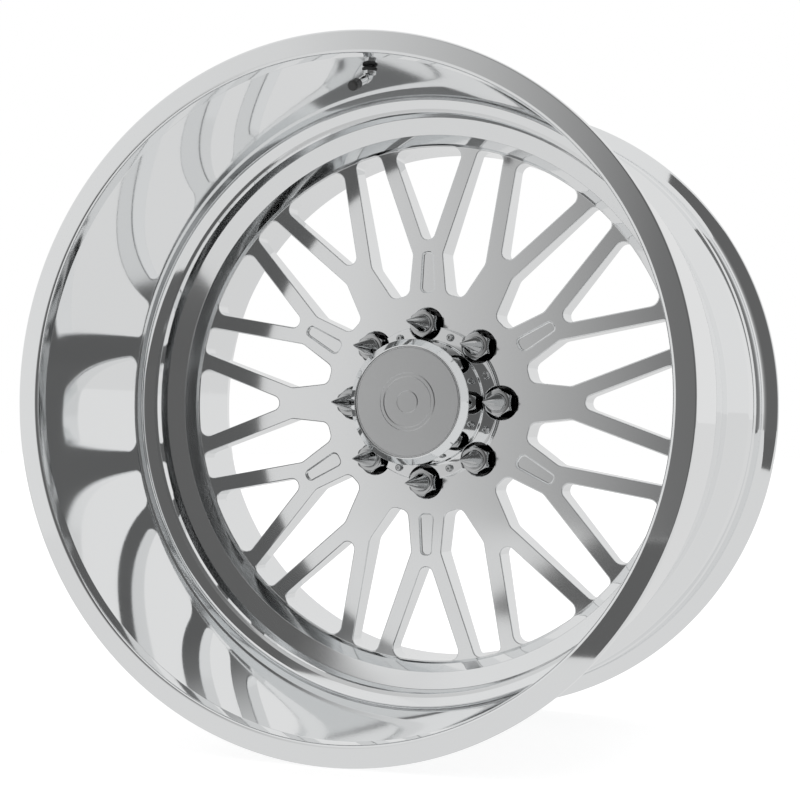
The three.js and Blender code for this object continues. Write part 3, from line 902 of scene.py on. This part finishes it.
def floor_reflections():
    """What polished metal sees of the floor: light all round, dark in front on the right."""
    half, below = 20.0, FLOOR_Z - LAYER
    panel("floor_light", [(-half, -half, below), (half, -half, below), (half, half, below),
                          (-half, half, below)], glow_material("floor_glow", FLOOR_GLOW)[0].material)
    near, far, left, right = -1.1, -3.9, -0.35, 3.9
    level = FLOOR_Z + LAYER
    panel("floor_dark", [(left, near, level), (right, near, level), (right, far, level),
                         (left - 0.5, far, level)], glow_material("floor_dim", DARK_GLOW)[0].material)


def studio_wall():
    """A curved wall in front of the wheel, dark to the right and light to the left, for reflections."""
    radius, low, high = 4.0, -1.0, 4.0
    first, last, steps = math.radians(-100), math.radians(62), 54
    bm = bmesh.new()
    rows = []
    for i in range(steps + 1):
        angle = first + (last - first) * i / steps
        x, y = -radius * math.sin(angle), -radius * math.cos(angle)
        rows.append((bm.verts.new((x, y, low)), bm.verts.new((x, y, high))))
    for here, there in zip(rows, rows[1:]):
        bm.faces.new((here[0], there[0], there[1], here[1]))
    wall = mesh_object("studio_wall", bm)
    nodes, glow = glow_material("wall_glow", 1.0)
    split = nodes.new("ShaderNodeSeparateXYZ")
    nodes.link(nodes.place(), split.inputs[0])
    bearing = nodes.math("ARCTAN2", nodes.math("MULTIPLY", split.outputs["X"], -1.0),
                         nodes.math("MULTIPLY", split.outputs["Y"], -1.0))
    ramp = nodes.new("ShaderNodeValToRGB")
    nodes.link(nodes.math("DIVIDE", nodes.math("SUBTRACT", bearing, first), last - first),
               ramp.inputs[0])
    stops = [(-100, 0.5), (-70, 0.20), (-50, 0.13), (0, 0.12), (8, 0.17), (16, 0.45), (25, 0.70),
             (40, 0.78)]
    elements = ramp.color_ramp.elements
    while len(elements) < len(stops):
        elements.new(0.5)
    for element, (bearing_deg, level) in zip(elements, stops):
        element.position = (math.radians(bearing_deg) - first) / (last - first)
        element.color = grey(level)
    nodes.link(ramp.outputs[0], glow.inputs["Color"])
    wall.data.materials.append(nodes.material)
    reflect_only(wall)


def backdrop():
    """The white sweep that the camera sees all round, far outside the studio."""
    bm = bmesh.new()
    bmesh.ops.create_icosphere(bm, subdivisions=4, radius=BACKDROP_RADIUS)
    dome = mesh_object("backdrop", bm)
    dome.data.materials.append(glow_material("backdrop_white", 1.0)[0].material)
    reflect_only(dome, True, False)


def soft_light(name, place, target, size, power):
    """A round lamp that lights the floor and is seen by neither the camera nor polished metal."""
    light = bpy.data.lights.new(name, "AREA")
    light.shape = "DISK"
    light.size = size
    light.energy = power
    lamp = bpy.data.objects.new(name, light)
    bpy.context.scene.collection.objects.link(lamp)
    direction = Vector(target) - Vector(place)
    lamp.visible_glossy = False
    lamp.visible_camera = False
    lamp.matrix_world = (Matrix.Translation(place)
                         @ direction.to_track_quat("-Z", "Y").to_matrix().to_4x4())


def studio():
    world = bpy.data.worlds.new("studio")
    bpy.context.scene.world = world
    world.use_nodes = True
    background = world.node_tree.nodes["Background"]
    background.inputs["Color"].default_value = grey(1.0)
    background.inputs["Strength"].default_value = WORLD_LEVEL
    bpy.context.scene.view_settings.view_transform = "Standard"
    floor()
    floor_reflections()
    studio_wall()
    backdrop()
    soft_light("overhead", (0.3, 0.4, 5.0), (0, 0, 0), 5.0, 60)


def camera():
    lens = bpy.data.cameras.new("camera")
    lens.lens = 77.55
    lens.sensor_width = 36.0
    lens.clip_end = 60.0
    eye = bpy.data.objects.new("camera", lens)
    bpy.context.scene.collection.objects.link(eye)
    forward = Vector(EYE_LOOK).normalized()
    right = forward.cross(Vector((0, 0, 1))).normalized()
    right = Matrix.Rotation(EYE_ROLL, 3, forward) @ right
    up = right.cross(forward)
    turn = Matrix((right, up, -forward)).transposed().to_4x4()
    eye.matrix_world = Matrix.Translation(EYE_PLACE) @ turn
    bpy.context.scene.camera = eye


studio()
camera()
